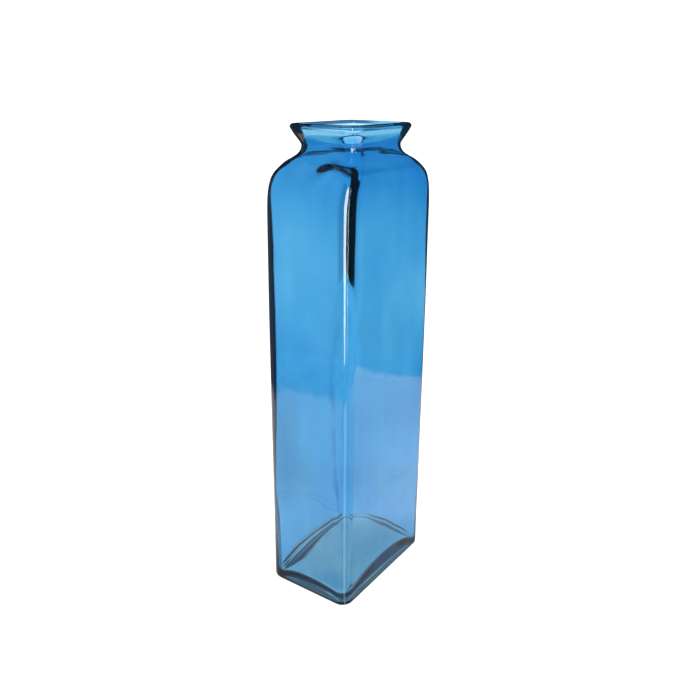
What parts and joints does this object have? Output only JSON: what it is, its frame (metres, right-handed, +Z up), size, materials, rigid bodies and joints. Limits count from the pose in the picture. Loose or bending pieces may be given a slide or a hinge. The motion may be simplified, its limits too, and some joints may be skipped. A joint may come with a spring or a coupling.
{
  "type": "glass vase",
  "caption": "Tall vase of clear blue glass with a rectangular body, rounded shoulders, a drawn-in neck and a flared open mouth; it holds water and stems and stands on its base ring.",
  "frame": {"origin": "on the standing surface, under the middle of the base", "axes": "+Z up along the vase; X across the narrow way of the body, Y across the wide way"},
  "size_m": [0.063, 0.0962, 0.3],
  "materials": {
    "blue_glass": "polished, see-through; the blue lies mostly in the outer skin of the glass, with slight waves"
  },
  "bodies": {
    "root": {"glass_vase": "blue_glass"}
  },
  "joints": []
}
